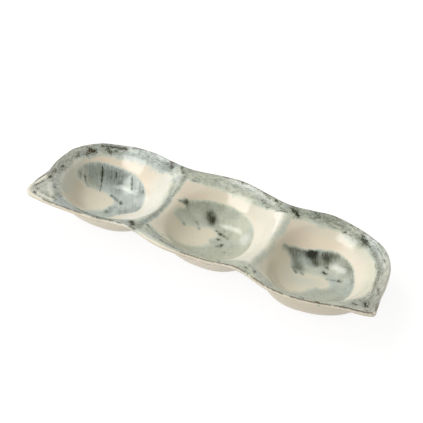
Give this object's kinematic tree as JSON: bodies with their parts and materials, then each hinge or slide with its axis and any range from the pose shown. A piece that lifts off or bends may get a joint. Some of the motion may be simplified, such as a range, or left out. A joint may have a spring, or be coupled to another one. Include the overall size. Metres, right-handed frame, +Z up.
{
  "type": "relish tray",
  "caption": "Pod-shaped stoneware relish tray with oval wells in a row, a scalloped flat rim ending in pinched tips, rounded dividers and low foot rings.",
  "frame": {"origin": "on the table, under the middle of the tray's outline", "axes": "+X along the tray from its left tip to its right tip as pictured, +Y to the back edge, +Z up"},
  "size_m": [0.3303, 0.1088, 0.038],
  "materials": {
    "rim_glaze": "brushed grey glaze over cream, glossy",
    "well_glaze": "cream glaze with a brushed grey swirl, glossy",
    "crest_glaze": "cream glaze with a grey brushed crest, glossy",
    "bare_clay": "unglazed fired clay, matte"
  },
  "bodies": {
    "root": {"rim": "rim_glaze", "left_bowl": "well_glaze", "middle_bowl": "well_glaze", "right_bowl": "well_glaze", "left_divider": "crest_glaze", "right_divider": "crest_glaze", "left_foot": "bare_clay", "middle_foot": "bare_clay", "right_foot": "bare_clay"}
  },
  "joints": []
}
